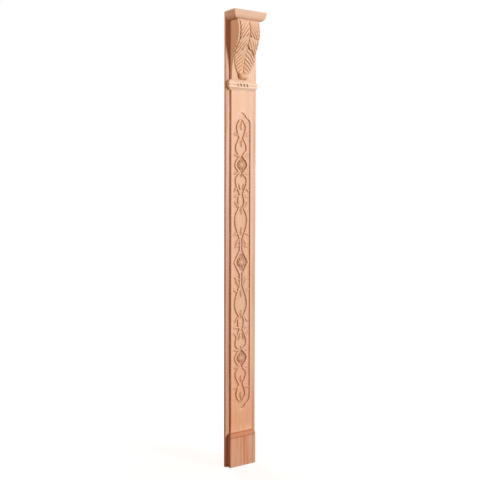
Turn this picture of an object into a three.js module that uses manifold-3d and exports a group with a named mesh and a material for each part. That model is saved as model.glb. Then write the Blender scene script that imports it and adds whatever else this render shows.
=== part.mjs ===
// A carved wooden pilaster. A thin back board carries a narrower shaft with a sunk, carved panel,
// a plinth at the foot, a beaded collar, an acanthus corbel and a moulded cap.
// Millimetres, +Z up, +Y into the wall, so the front faces -Y.

import * as THREE from 'three';
import { mergeVertices } from 'three/addons/utils/BufferGeometryUtils.js';
import Module from 'manifold-3d';

// Back board
const HEIGHT = 2400;
const BOARD_WIDTH = 192;
const BOARD_THICK = 14;

// Plinth: a straight block with a rounded top edge that dies into the shaft
const PLINTH_WIDTH = 163;
const PLINTH_THICK = 27.5;
const PLINTH_STRAIGHT = 163;
const PLINTH_HEIGHT = 185;
const PLINTH_ROUND_STEPS = 4;

// Shaft and its sunk panel, which has a shouldered, pointed head at both ends
const SHAFT_WIDTH = 135;
const SHAFT_THICK = 10.5;
const PANEL_MIDDLE = 1099.5;
const PANEL_HALF_WIDTH = 54.5;
const PANEL_HALF_STRAIGHT = 726;
const PANEL_SHOULDER_AT = 762;
const PANEL_SHOULDER_HALF_WIDTH = 30;
const PANEL_HALF_LENGTH = 789.5;
const PANEL_HEAD_SLACK = 6;
const PANEL_CURVE_STEPS = 6;
const PANEL_DEPTH = 6;

// Vine in the panel: two mirrored stems that part and meet again. The loops run outwards from the
// middle of the panel. Each is given by where it starts, is widest and ends, by how far the stems
// then stand from the centre line, and by how far they stand where it ends.
const STEM_WIDTH = 14;
const STEM_TOP_WIDTH = 7;
const STEM_RISE = 5.5;
const STEM_STEP = 10.5;
const STEM_WAIST = 8.5;
const LOZENGE_REACH = 44;
const LOZENGE_LENGTH = 62;
const VINE_LOOPS = [
  { start: 122, widest: 236, end: 346, reach: 38.5, close: 11 },
  { start: 346, widest: 440, end: 472, reach: 35, close: 9 },
  { start: 472, widest: 516, end: 561, reach: 38, close: 9 },
  { start: 561, widest: 600, end: 657, reach: 34, close: 12 },
  { start: 657, widest: 712, end: 756, reach: 28, close: 5 },
];
const LOOP_FULLNESS = 1.15;

// Leaves beside the stems: distance from the middle, distance from the centre line, length, width
// and the way the tip points, in degrees from along the panel towards its edge
const SIDE_LEAVES = [
  { at: 126, aside: 15, length: 50, width: 23, turn: 152 },
  { at: 158, aside: 24, length: 36, width: 16, turn: 118 },
  { at: 302, aside: 24, length: 42, width: 18, turn: 12 },
  { at: 400, aside: 26, length: 40, width: 16, turn: 140 },
  { at: 396, aside: 9, length: 36, width: 12, turn: 12 },
  { at: 566, aside: 9, length: 26, width: 12, turn: 34 },
  { at: 670, aside: 22, length: 34, width: 16, turn: 70 },
];

// Buds on the centre line, by where they are rooted; a negative length hangs towards the middle
const BUDS = [
  { at: 298, length: -44, width: 22 },
  { at: 478, length: -28, width: 14 },
  { at: 646, length: -36, width: 18 },
  { at: 700, length: 44, width: 22 },
];
const LEAF_RISE = 5.5;
const LEAF_STATIONS = [0, 0.22, 0.5, 0.78, 1];
const LEAF_STALK_RISE = 0.4;
const LEAF_SWELL = [0.12, 0.97];
const LEAF_SKEW = 0.8;

// Rosettes at the middle and towards both ends of the panel, each between two deep hollows
const ROSETTE_AT = 516;
const ROSETTE_RADIUS = 25;
const ROSETTE_PETALS = 8;
const ROSETTE_PETAL_WIDTH = 17;
const ROSETTE_EYE_RADIUS = 9;
const ROSETTE_RISE = 6;
const ROSETTE_EYE_SIDES = 12;
const ROSETTE_EYE_STEPS = 4;
const HOLLOW_OFFSET = 35;
const HOLLOW_SIZE = [13, 3, 12];

// Collar: two beads between bevels, round the front and sides of the shaft
const COLLAR_FOOT = 2002;
const COLLAR_HEIGHT = 53;
const COLLAR_WIDTH = 180;
const COLLAR_AHEAD = 24;
const COLLAR_BEVEL = 11;
const COLLAR_INSET = 12;
const BEAD_SINK = 4.5;
const BEAD_STEPS = 5;
const GOUGES = 4;
const GOUGE_PITCH = 20;
const GOUGE_SIZE = [4, 5, 11];
const GOUGE_LEAN = 24;

// Corbel: how far its front stands ahead of the back board, from its foot to the cap
const CORBEL_FOOT = COLLAR_FOOT + COLLAR_HEIGHT;
const CORBEL_HEIGHT = 301;
const CORBEL_FRONT = [
  { up: 0, out: 17 },
  { up: 52, out: 17.5 },
  { up: 92, out: 25.5 },
  { up: 131, out: 38.5 },
  { up: 161, out: 50.5 },
  { up: 191, out: 67 },
  { up: 221, out: 77 },
  { up: 246, out: 80 },
  { up: 276, out: 74 },
  { up: 301, out: 69 },
];

// Acanthus leaf on the corbel. It hangs from the cap in tiers, with its tip at the foot, and its
// flutes droop from the midrib to the edges.
const ACANTHUS_TIERS = [
  { from: 8, to: 150, rise: 7 },
  { from: 150, to: 214, rise: 6 },
  { from: 214, to: 296, rise: 5 },
];
const ACANTHUS_FLUTE_PITCH = 17;
const ACANTHUS_FLUTE_DEPTH = 2.4;
const ACANTHUS_TIER_STEP = 3;
const ACANTHUS_TIER_SINK = 0.75;
const ACANTHUS_DROOP = 44;
const ACANTHUS_DROOP_EASE = [70, 45];
const ACANTHUS_HALF_WIDTH = 63;
const ACANTHUS_TIP_HALF_WIDTH = 18;
const ACANTHUS_TAPER_UP = 120;
const ACANTHUS_LOBE_NOTCH = 0.05;
const ACANTHUS_COLUMNS = [0, 0.1, 0.4, 0.7, 0.93, 1];
const ACANTHUS_RIB_RISE = 2;

// Cap: an ovolo under a square fillet
const CAP_FOOT = CORBEL_FOOT + CORBEL_HEIGHT;
const CAP_WIDTH = 200;
const CAP_AHEAD = 89.5;
const CAP_FILLET = 12.5;
const CAP_SIDE_INSET = 26;
const CAP_FRONT_INSET = 17;
const CAP_QUIRK = 2;
const CAP_QUIRK_HEIGHT = 1;
const CAP_OVOLO_STEPS = 6;

// Room left where one piece is cut to fit round another, and how deep the carving is rooted
const GAP = 0.3;
const EMBED = 1.2;

const COLOURS = {
  back_board: 0xd2a07e,
  shaft: 0xe6b796,
  plinth: 0xd09a76,
  collar: 0xeec3a2,
  corbel: 0xe2b08c,
  cap: 0xe4b595,
};

const wasm = await Module();
wasm.setup();

// A closed skin over rings of equal point count. The rings turn anticlockwise when seen from the
// last one, and their end faces are fans from their first point.
function skin(rings) {
  const count = rings[0].length;
  const last = (rings.length - 1) * count;
  const index = [];
  for (let ring = 0; ring < rings.length - 1; ring += 1) {
    for (let point = 0; point < count; point += 1) {
      const a = ring * count + point;
      const b = ring * count + (point + 1) % count;
      index.push(a, b, b + count, a, b + count, a + count);
    }
  }
  for (let point = 1; point < count - 1; point += 1) {
    index.push(0, point + 1, point);
    index.push(last, last + point, last + point + 1);
  }
  return new THREE.BufferGeometry().setFromPoints(rings.flat()).setIndex(index);
}

function solidOf(geometry) {
  const bare = geometry.clone();
  bare.deleteAttribute('normal');
  bare.deleteAttribute('uv');
  const merged = mergeVertices(bare);
  return new wasm.Manifold(new wasm.Mesh({
    numProp: 3,
    vertProperties: merged.attributes.position.array,
    triVerts: Uint32Array.from(merged.index.array),
  }));
}

function geometryOf(solid) {
  const { vertProperties, triVerts } = solid.getMesh();
  const geometry = new THREE.BufferGeometry();
  geometry.setAttribute('position', new THREE.BufferAttribute(vertProperties, 3));
  geometry.setIndex(new THREE.BufferAttribute(triVerts, 1));
  return geometry;
}

function flipped(geometry, flipX, flipZ) {
  const copy = geometry.clone().scale(flipX ? -1 : 1, 1, flipZ ? -1 : 1);
  if (flipX === flipZ) return copy;
  const { array } = copy.index;
  for (let corner = 0; corner < array.length; corner += 3) {
    [array[corner + 1], array[corner + 2]] = [array[corner + 2], array[corner + 1]];
  }
  return copy;
}

// The Y of a face that stands this far ahead of the back board's front
function ahead(distance) {
  return -BOARD_THICK - distance;
}

// A block against the back board that follows levels of height, half width and front, foot first
function mouldedBlock(levels) {
  return skin(levels.map(({ z, halfWidth, front }) => [
    new THREE.Vector3(-halfWidth, ahead(0), z),
    new THREE.Vector3(-halfWidth, ahead(front), z),
    new THREE.Vector3(halfWidth, ahead(front), z),
    new THREE.Vector3(halfWidth, ahead(0), z),
  ]));
}

function box(width, depth, height, x, y, z) {
  return new THREE.BoxGeometry(width, depth, height).translate(x, y, z);
}

function backBoard() {
  return box(BOARD_WIDTH, BOARD_THICK, HEIGHT, 0, -BOARD_THICK / 2, HEIGHT / 2);
}

function plinth() {
  const levels = [{ z: 0, halfWidth: PLINTH_WIDTH / 2, front: PLINTH_THICK }];
  for (let step = 0; step <= PLINTH_ROUND_STEPS; step += 1) {
    const angle = (step / PLINTH_ROUND_STEPS) * (Math.PI / 2);
    levels.push({
      z: PLINTH_STRAIGHT + (PLINTH_HEIGHT - PLINTH_STRAIGHT) * Math.sin(angle),
      halfWidth: THREE.MathUtils.lerp(SHAFT_WIDTH, PLINTH_WIDTH, Math.cos(angle)) / 2,
      front: THREE.MathUtils.lerp(SHAFT_THICK, PLINTH_THICK, Math.cos(angle)),
    });
  }
  return mouldedBlock(levels);
}

// The outline of the sunk panel, centred on its own middle: a quarter mirrored, then turned round
function panelOutline() {
  const shoulderTip = new THREE.Vector2(PANEL_SHOULDER_HALF_WIDTH, PANEL_SHOULDER_AT);
  const shoulder = new THREE.QuadraticBezierCurve(
    new THREE.Vector2(PANEL_HALF_WIDTH, PANEL_HALF_STRAIGHT),
    new THREE.Vector2(PANEL_HALF_WIDTH, PANEL_SHOULDER_AT - PANEL_HEAD_SLACK),
    shoulderTip,
  );
  const head = new THREE.QuadraticBezierCurve(
    shoulderTip,
    new THREE.Vector2(PANEL_SHOULDER_HALF_WIDTH - PANEL_HEAD_SLACK, PANEL_HALF_LENGTH - PANEL_HEAD_SLACK),
    new THREE.Vector2(0, PANEL_HALF_LENGTH),
  );
  const right = [...shoulder.getPoints(PANEL_CURVE_STEPS), ...head.getPoints(PANEL_CURVE_STEPS).slice(1)];
  const left = right.slice(0, -1).reverse().map(({ x, y }) => new THREE.Vector2(-x, y));
  const top = [...right, ...left];
  return new THREE.Shape([...top, ...top.map(({ x, y }) => new THREE.Vector2(-x, -y))]);
}

// Distance of a stem from the centre line, by its distance from the middle of the panel
function stemReach(along) {
  if (along < LOZENGE_LENGTH) {
    return THREE.MathUtils.lerp(LOZENGE_REACH, STEM_WAIST, Math.abs(along) / LOZENGE_LENGTH);
  }
  const place = VINE_LOOPS.findIndex(({ start, end }) => along >= start && along <= end);
  if (place < 0) return STEM_WAIST;
  const { start, widest, end, reach, close } = VINE_LOOPS[place];
  const open = place > 0 ? VINE_LOOPS[place - 1].close : STEM_WAIST;
  const rising = along < widest;
  const waist = rising ? open : close;
  const share = rising ? (along - start) / (widest - start) : (end - along) / (end - widest);
  return waist + (reach - waist) * Math.sin(share * Math.PI / 2) ** LOOP_FULLNESS;
}

// One stem from the middle to the end of the panel: a flat-topped rib on the panel's ground
function vineStem() {
  const length = VINE_LOOPS.at(-1).end;
  const steps = Math.round(length / STEM_STEP);
  const rings = [];
  for (let step = -1; step <= steps; step += 1) {
    const along = (step / steps) * length;
    const slope = (stemReach(Math.min(along + 1, length)) - stemReach(along - 1)) / 2;
    const across = new THREE.Vector3(1, 0, -slope).normalize();
    const centre = new THREE.Vector3(stemReach(along), 0, along);
    const at = (aside, rise) => centre.clone().addScaledVector(across, aside).setY(-rise);
    rings.push([
      at(-STEM_WIDTH / 2, -EMBED),
      at(-STEM_TOP_WIDTH / 2, STEM_RISE),
      at(STEM_TOP_WIDTH / 2, STEM_RISE),
      at(STEM_WIDTH / 2, -EMBED),
    ]);
  }
  return skin(rings);
}

// A pointed leaf along +Z with a raised midrib, lying on the panel's ground
function ridgedLeaf(length, width, rise) {
  return skin(LEAF_STATIONS.map((share) => {
    const swell = Math.sin(Math.PI * THREE.MathUtils.lerp(...LEAF_SWELL, share ** LEAF_SKEW));
    const half = (width / 2) * swell;
    const z = length * share;
    return [
      new THREE.Vector3(0, EMBED, z),
      new THREE.Vector3(-half, 0, z),
      new THREE.Vector3(0, -rise * THREE.MathUtils.lerp(LEAF_STALK_RISE, 1, swell), z),
      new THREE.Vector3(half, 0, z),
    ];
  }));
}

function sideLeaf({ at, aside, length, width, turn }) {
  return ridgedLeaf(length, width, LEAF_RISE)
    .rotateY(THREE.MathUtils.degToRad(turn))
    .translate(aside, 0, at);
}

function bud({ at, length, width }) {
  return ridgedLeaf(Math.abs(length), width, LEAF_RISE)
    .rotateY(length < 0 ? Math.PI : 0)
    .translate(0, 0, at);
}

// A ring of ridged petals round a domed eye
function rosette(at) {
  const parts = [];
  for (let petal = 0; petal < ROSETTE_PETALS; petal += 1) {
    const angle = ((petal + 0.5) / ROSETTE_PETALS) * Math.PI * 2;
    parts.push(ridgedLeaf(ROSETTE_RADIUS, ROSETTE_PETAL_WIDTH, LEAF_RISE).rotateY(angle));
  }
  const eye = new THREE.EllipseCurve(0, 0, ROSETTE_EYE_RADIUS, ROSETTE_RISE, 0, Math.PI / 2)
    .getPoints(ROSETTE_EYE_STEPS);
  eye.at(-1).setX(0);
  const section = [new THREE.Vector2(0, -EMBED), new THREE.Vector2(ROSETTE_EYE_RADIUS, -EMBED), ...eye];
  parts.push(new THREE.LatheGeometry(section, ROSETTE_EYE_SIDES).rotateX(Math.PI));
  return parts.map((part) => part.translate(0, 0, at));
}

function shaft() {
  const length = CAP_FOOT - PLINTH_HEIGHT;
  const middle = PLINTH_HEIGHT + length / 2;
  const ground = ahead(SHAFT_THICK - PANEL_DEPTH);
  const rosettePlaces = [-ROSETTE_AT, 0, ROSETTE_AT];
  const board = box(SHAFT_WIDTH, SHAFT_THICK, length, 0, ahead(SHAFT_THICK / 2), middle);
  const cuts = [
    new THREE.ExtrudeGeometry(panelOutline(), { depth: PANEL_DEPTH * 2, bevelEnabled: false })
      .rotateX(Math.PI / 2),
  ];
  for (const place of rosettePlaces) {
    for (const side of [-1, 1]) {
      cuts.push(new THREE.SphereGeometry(1, 10, 8)
        .scale(...HOLLOW_SIZE)
        .translate(0, 0, place + side * HOLLOW_OFFSET));
    }
  }
  const carving = rosettePlaces.flatMap(rosette);
  for (const flipZ of [false, true]) {
    carving.push(...BUDS.map((piece) => flipped(bud(piece), false, flipZ)));
    for (const flipX of [false, true]) {
      const quarter = [vineStem(), ...SIDE_LEAVES.map(sideLeaf)];
      carving.push(...quarter.map((piece) => flipped(piece, flipX, flipZ)));
    }
  }
  const placed = (geometry) => solidOf(geometry.translate(0, ground, PANEL_MIDDLE));
  const sunk = cuts.reduce((left, cut) => left.subtract(placed(cut)), solidOf(board));
  return geometryOf(carving.reduce((joined, part) => joined.add(placed(part)), sunk));
}

// The collar's levels: a bevel, two beads with a groove between them, and a bevel back
function collarLevels() {
  const level = (up, inset) => ({
    z: COLLAR_FOOT + up,
    halfWidth: COLLAR_WIDTH / 2 - inset,
    front: COLLAR_AHEAD - inset,
  });
  const beadHeight = (COLLAR_HEIGHT - 2 * COLLAR_BEVEL) / 2;
  const levels = [level(0, COLLAR_INSET)];
  for (const bead of [0, 1]) {
    for (let step = bead; step <= BEAD_STEPS; step += 1) {
      const share = step / BEAD_STEPS;
      const sink = BEAD_SINK * (1 - Math.sqrt(1 - (2 * share - 1) ** 2));
      levels.push(level(COLLAR_BEVEL + (bead + share) * beadHeight, sink));
    }
  }
  levels.push(level(COLLAR_HEIGHT, COLLAR_INSET));
  return levels;
}

function collar() {
  const middle = COLLAR_FOOT + COLLAR_HEIGHT / 2;
  const slot = box(
    SHAFT_WIDTH + 2 * GAP,
    2 * (SHAFT_THICK + GAP),
    2 * COLLAR_HEIGHT,
    0,
    ahead(0),
    middle,
  );
  let piece = solidOf(mouldedBlock(collarLevels())).subtract(solidOf(slot));
  for (let gouge = 0; gouge < GOUGES; gouge += 1) {
    const cut = new THREE.SphereGeometry(1, 8, 6)
      .scale(...GOUGE_SIZE)
      .rotateY(THREE.MathUtils.degToRad(-GOUGE_LEAN))
      .translate((gouge - (GOUGES - 1) / 2) * GOUGE_PITCH, ahead(COLLAR_AHEAD), middle);
    piece = piece.subtract(solidOf(cut));
  }
  return geometryOf(piece);
}

// Half the width of the acanthus leaf, by the height above the corbel's foot
function acanthusHalfWidth(up) {
  const share = THREE.MathUtils.clamp(up / ACANTHUS_TAPER_UP, 0, 1);
  return THREE.MathUtils.lerp(
    ACANTHUS_TIP_HALF_WIDTH, ACANTHUS_HALF_WIDTH, Math.sin(share * Math.PI / 2));
}

// The rows of the corbel's front from foot to head: a bare row, then for each tier of the leaf a
// ridge and a groove in turn, sinking from its raised lower edge to the tier above, and a bare row
function acanthusRows() {
  const rows = [{ up: 0, rise: 0, groove: 0 }];
  for (const { from, to, rise } of ACANTHUS_TIERS) {
    const halves = 2 * Math.round((to - from) / ACANTHUS_FLUTE_PITCH);
    for (let half = 0; half <= halves; half += 1) {
      const share = half / halves;
      rows.push({
        up: THREE.MathUtils.lerp(from, to - ACANTHUS_TIER_STEP, share),
        rise: rise * (1 - ACANTHUS_TIER_SINK * share),
        groove: half % 2,
      });
    }
  }
  rows.push({ up: CORBEL_HEIGHT, rise: 0, groove: 0 });
  return rows;
}

function corbel() {
  const front = new THREE.SplineCurve(CORBEL_FRONT.map(({ up, out }) => new THREE.Vector2(up, out)));
  const profile = front.getPoints(CORBEL_HEIGHT);
  const halfWidth = SHAFT_WIDTH / 2;
  const [easeFoot, easeHead] = ACANTHUS_DROOP_EASE;
  const rings = acanthusRows().map(({ up, rise, groove }) => {
    const ease = Math.min(1, up / easeFoot, (CORBEL_HEIGHT - up) / easeHead);
    const leafHalf = acanthusHalfWidth(up) * (1 - ACANTHUS_LOBE_NOTCH * groove);
    const place = (across, standing) => {
      const height = up - ease * ACANTHUS_DROOP * (Math.abs(across) / halfWidth) ** 2;
      const { y: out } = profile.find(({ x }) => x >= height - 0.5) ?? profile.at(-1);
      return new THREE.Vector3(across, ahead(out + standing), CORBEL_FOOT + height);
    };
    const right = ACANTHUS_COLUMNS.map((share) => {
      const edge = share < 1 ? 1 : 0;
      const rib = share === 0 && rise > 0 ? ACANTHUS_RIB_RISE : 0;
      const flute = groove * ACANTHUS_FLUTE_DEPTH * Math.min(1, 2 * share);
      return place(leafHalf * share, edge * Math.max(0, rise - flute) + rib);
    });
    right.push(place(halfWidth, 0));
    const left = right.slice(1).reverse().map(({ x, y, z }) => new THREE.Vector3(-x, y, z));
    const back = right.at(-1).clone().setY(ahead(SHAFT_THICK));
    return [back.clone().setX(-halfWidth), ...left, ...right, back];
  });
  return skin(rings);
}

function cap() {
  const height = HEIGHT - CAP_FOOT;
  const ovolo = height - CAP_FILLET - CAP_QUIRK_HEIGHT;
  const level = (up, sideInset, frontInset) => ({
    z: CAP_FOOT + up,
    halfWidth: CAP_WIDTH / 2 - sideInset,
    front: CAP_AHEAD - frontInset,
  });
  const levels = [];
  for (let step = 0; step <= CAP_OVOLO_STEPS; step += 1) {
    const angle = (step / CAP_OVOLO_STEPS) * (Math.PI / 2);
    const share = 1 - Math.sin(angle);
    levels.push(level(
      ovolo * (1 - Math.cos(angle)),
      CAP_QUIRK + (CAP_SIDE_INSET - CAP_QUIRK) * share,
      CAP_QUIRK + (CAP_FRONT_INSET - CAP_QUIRK) * share,
    ));
  }
  levels.push(level(height - CAP_FILLET, 0, 0));
  levels.push(level(height, 0, 0));
  return mouldedBlock(levels);
}

function piece(name, geometry) {
  const material = new THREE.MeshStandardMaterial({
    color: COLOURS[name],
    roughness: 0.62,
    metalness: 0,
  });
  const mesh = new THREE.Mesh(geometry, material);
  mesh.name = name;
  return mesh;
}

// The pieces stand on their foot, and the group is lowered so that the origin is at mid-height
const pilaster = new THREE.Group();
pilaster.add(
  piece('back_board', backBoard()),
  piece('plinth', plinth()),
  piece('shaft', shaft()),
  piece('collar', collar()),
  piece('corbel', corbel()),
  piece('cap', cap()),
);
pilaster.position.z = -HEIGHT / 2;
pilaster.updateMatrixWorld(true);

export default pilaster;
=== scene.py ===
import math

import bmesh
import bpy
import numpy as np
from mathutils import Euler, Matrix, Vector


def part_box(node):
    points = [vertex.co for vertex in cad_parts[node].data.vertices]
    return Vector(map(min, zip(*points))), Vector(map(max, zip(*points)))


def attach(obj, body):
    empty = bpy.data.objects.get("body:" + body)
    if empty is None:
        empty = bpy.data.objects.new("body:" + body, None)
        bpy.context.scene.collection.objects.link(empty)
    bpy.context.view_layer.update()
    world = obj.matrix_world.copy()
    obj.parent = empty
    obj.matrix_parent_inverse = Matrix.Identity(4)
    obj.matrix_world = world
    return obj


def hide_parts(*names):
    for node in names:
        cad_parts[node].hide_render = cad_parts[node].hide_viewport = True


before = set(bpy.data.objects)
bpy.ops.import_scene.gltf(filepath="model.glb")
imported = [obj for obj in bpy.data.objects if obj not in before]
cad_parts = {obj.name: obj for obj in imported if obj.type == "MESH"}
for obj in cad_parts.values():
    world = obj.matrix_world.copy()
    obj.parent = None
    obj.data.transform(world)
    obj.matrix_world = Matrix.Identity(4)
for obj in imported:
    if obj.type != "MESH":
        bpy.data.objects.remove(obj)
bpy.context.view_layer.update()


# Back board: one long thin beech board, planed, sanded and left bare. It is fixed flat against
# a wall or cabinet, carries every other piece, and shows as a plain margin on both sides.

BOARD_LOW, BOARD_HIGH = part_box("back_board")
FOOT = BOARD_LOW.z
BOARD_FACE = BOARD_LOW.y
BOARD_ARRIS = 0.0012
# The board's beech is darker than the shaft's: painted shade for the margins beside the shaft
BOARD_SHADED_PALE = (0.590, 0.310, 0.166, 1)
BOARD_SHADED_DEEP = (0.474, 0.218, 0.104, 1)
BOARD_LOG_PLACE = (0.31, 0.04, 0.95)
# Painted shade: every piece grows darker and ruddier towards the floor
LOW_SHADE_TINT = (0.97, 0.81, 0.66)
LOW_SHADE_HEIGHTS = (-1.0, -0.45)
PATCHES = {"per_metre": (7, 7, 1.1), "detail": 2.0, "roughness": 0.5}
STREAKS = {"per_metre": (75, 75, 1.8), "detail": 5.0, "roughness": 0.62}
FIBRES = {"per_metre": (900, 900, 16), "detail": 3.0, "roughness": 0.6}
RINGS_PER_METRE = (24, 24, 0.9)
RING_WANDER = {"Distortion": 7.0, "Detail": 2.0, "Detail Scale": 1.1}
RAYS_PER_METRE = (420, 420, 80)
RAY_EDGES = (0.16, 0.30)
RAY_TINT = (0.62, 0.45, 0.36, 1)
RAY_SHARE = 0.30
PATCH_SHARE = 0.45
STREAK_SHARE = 0.55
FIBRE_SHARE = 0.22
RING_SHARE = 0.16
FIGURE_RANGE = (0.48, 0.92)
# Painted shade darkens the carving's hollows and painted highlight makes its ridges paler; rubbed edges
# share the pale tint
HOLLOW_SHADE_RANGE = (0.0, -0.0011)
HOLLOW_SHADE_TINT = (0.42, 0.25, 0.15, 1)
HOLLOW_SHADE_SHARE = 0.46
RIDGE_HIGHLIGHT_RANGE = (0.0001, 0.0013)
RUBBED_STREAKS = (0.35, 0.55)
HIGHLIGHT_AND_RUBBED_TINT = (0.93, 0.74, 0.58, 1)
HIGHLIGHT_AND_RUBBED_SHARE = 0.36
SANDED_ROUGHNESS = 0.44
FIBRE_ROUGHNESS = 0.22
SUNK_ROUGHNESS = 0.16
RUBBED_POLISH = -0.10
RAY_DENT = -0.5
GRAIN_BUMP = {"Strength": 0.30, "Distance": 0.0004}
WOOD_GLOSS = 0.32
CREASE = math.radians(38)
WEAR_TURN = math.radians(45)
CORNER_STEPS = 4
CORNER_SUPPORT = 0.6


def add_node(tree, kind, inputs=None, **settings):
    """A node with its settings made; each input is linked to a socket or set to a value."""
    node = tree.nodes.new(kind)
    for name, value in settings.items():
        setattr(node, name, value)
    for place, value in (inputs or {}).items():
        if isinstance(value, bpy.types.NodeSocket):
            tree.links.new(value, node.inputs[place])
        else:
            node.inputs[place].default_value = value
    return node


def calculate(tree, operation, *values):
    """The result of one sum on numbers or sockets."""
    return add_node(tree, "ShaderNodeMath", dict(enumerate(values)), operation=operation).outputs[0]


def rescale(tree, value, low, high, to_low=0.0, to_high=1.0):
    """A value moved from one range to another and kept inside it."""
    ends = {0: value, 1: low, 2: high, 3: to_low, 4: to_high}
    return add_node(tree, "ShaderNodeMapRange", ends).outputs[0]


def blend_colours(tree, share, first, second, blend="MIX"):
    """The second colour laid over the first by a share."""
    inputs = {0: share, 6: first, 7: second}
    return add_node(tree, "ShaderNodeMix", inputs, data_type="RGBA", blend_type=blend).outputs[2]


def beech_group():
    """Beech with its grain along Z: growth rings, streaks, fibres, ray flecks, painted shade in carved
    hollows, painted highlight on carved ridges and paler rubbed edges.
    """
    tree = bpy.data.node_groups.new("beech_grain", "ShaderNodeTree")
    for name, kind in (
        ("Vector", "Vector"), ("Pale", "Color"), ("Deep", "Color"), ("PaintedShading", "Float"), ("Worn", "Float"),
    ):
        tree.interface.new_socket(name, in_out="INPUT", socket_type=f"NodeSocket{kind}")
    for name, kind in (("Color", "Color"), ("Roughness", "Float"), ("Normal", "Vector")):
        tree.interface.new_socket(name, in_out="OUTPUT", socket_type=f"NodeSocket{kind}")
    given = add_node(tree, "NodeGroupInput").outputs

    def stretched(per_metre):
        inputs = {0: given["Vector"], 1: per_metre}
        return add_node(tree, "ShaderNodeVectorMath", inputs, operation="MULTIPLY").outputs[0]

    def noise(per_metre, detail, roughness):
        inputs = {"Vector": stretched(per_metre), "Scale": 1.0, "Detail": detail, "Roughness": roughness}
        return add_node(tree, "ShaderNodeTexNoise", inputs).outputs[0]

    patches = noise(**PATCHES)
    streaks = noise(**STREAKS)
    fibres = noise(**FIBRES)
    ring_inputs = {"Vector": stretched(RINGS_PER_METRE), "Scale": 1.0, **RING_WANDER}
    bands = {"wave_type": "BANDS", "bands_direction": "X"}
    rings = add_node(tree, "ShaderNodeTexWave", ring_inputs, **bands).outputs[1]
    cell_inputs = {"Vector": stretched(RAYS_PER_METRE), "Scale": 1.0}
    ray_cells = add_node(tree, "ShaderNodeTexVoronoi", cell_inputs).outputs["Distance"]
    rays = rescale(tree, ray_cells, *RAY_EDGES, 1.0, 0.0)

    figure = calculate(tree, "MULTIPLY", rings, RING_SHARE)
    for pattern, share in ((streaks, STREAK_SHARE), (fibres, FIBRE_SHARE), (patches, PATCH_SHARE)):
        figure = calculate(tree, "MULTIPLY_ADD", pattern, share, figure)
    wood = blend_colours(tree, rescale(tree, figure, *FIGURE_RANGE), given["Pale"], given["Deep"])
    ray_share = calculate(tree, "MULTIPLY", rays, RAY_SHARE)
    wood = blend_colours(tree, ray_share, wood, RAY_TINT, "MULTIPLY")

    # Painted shade where the surface lies below its surroundings, painted highlight where it stands out
    sunk = rescale(tree, given["PaintedShading"], *HOLLOW_SHADE_RANGE)
    ridge_highlight = rescale(tree, given["PaintedShading"], *RIDGE_HIGHLIGHT_RANGE)
    hollow_shade_share = calculate(tree, "MULTIPLY", sunk, HOLLOW_SHADE_SHARE)
    wood = blend_colours(tree, hollow_shade_share, wood, HOLLOW_SHADE_TINT, "MULTIPLY")
    # One pale tint for rubbed edges and for the painted highlight on ridges
    rubbed = calculate(tree, "MULTIPLY", given["Worn"], rescale(tree, streaks, *RUBBED_STREAKS))
    highlight_and_rubbed = calculate(tree, "MAXIMUM", ridge_highlight, rubbed)
    highlight_and_rubbed_share = calculate(tree, "MULTIPLY", highlight_and_rubbed, HIGHLIGHT_AND_RUBBED_SHARE)
    wood = blend_colours(tree, highlight_and_rubbed_share, wood, HIGHLIGHT_AND_RUBBED_TINT)

    roughness = calculate(tree, "MULTIPLY_ADD", fibres, FIBRE_ROUGHNESS, SANDED_ROUGHNESS)
    roughness = calculate(tree, "MULTIPLY_ADD", sunk, SUNK_ROUGHNESS, roughness)
    roughness = calculate(tree, "MULTIPLY_ADD", rubbed, RUBBED_POLISH, roughness)
    surface = calculate(tree, "MULTIPLY_ADD", rays, RAY_DENT, fibres)
    bump = add_node(tree, "ShaderNodeBump", {"Height": surface, **GRAIN_BUMP})
    add_node(tree, "NodeGroupOutput", {
        "Color": wood,
        "Roughness": roughness,
        "Normal": bump.outputs[0],
    })
    return tree


BEECH = beech_group()


def beech_material(name, pale, deep, log_place, grain_turn=(0, 0, 0)):
    """Bare sanded beech, with painted shade that makes it darker and ruddier towards the floor; log_place
    tells where in the log it was sawn.
    """
    material = bpy.data.materials.new(name)
    material.use_nodes = True
    tree = material.node_tree
    tree.nodes.clear()
    place = add_node(tree, "ShaderNodeTexCoord").outputs["Object"]
    sawn = add_node(tree, "ShaderNodeMapping", {
        "Vector": place,
        "Location": log_place,
        "Rotation": grain_turn,
    }, name="sawn")
    # The carving's painted shade and highlight, marked on the mesh from its shape
    carve = add_node(tree, "ShaderNodeAttribute", attribute_name="carve").outputs["Fac"]
    worn = add_node(tree, "ShaderNodeAttribute", attribute_name="worn").outputs["Fac"]
    grain = add_node(tree, "ShaderNodeGroup", node_tree=BEECH)
    height = add_node(tree, "ShaderNodeSeparateXYZ", {0: place}).outputs["Z"]
    # Painted shade, full at the lower height and none at the upper
    low_shade = rescale(tree, height, *LOW_SHADE_HEIGHTS, 1.0, 0.0)
    for socket, value in (
        ("Vector", sawn.outputs[0]),
        ("Pale", blend_colours(tree, low_shade, pale, tuple(np.multiply(pale, (*LOW_SHADE_TINT, 1))))),
        ("Deep", blend_colours(tree, low_shade, deep, tuple(np.multiply(deep, (*LOW_SHADE_TINT, 1))))),
        ("PaintedShading", carve),
        ("Worn", worn),
    ):
        tree.links.new(value, grain.inputs[socket])
    shader = add_node(tree, "ShaderNodeBsdfPrincipled", {
        "Base Color": grain.outputs["Color"],
        "Roughness": grain.outputs["Roughness"],
        "Normal": grain.outputs["Normal"],
        "Specular IOR Level": WOOD_GLOSS,
    })
    add_node(tree, "ShaderNodeOutputMaterial", {"Surface": shader.outputs[0]})
    return material


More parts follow.
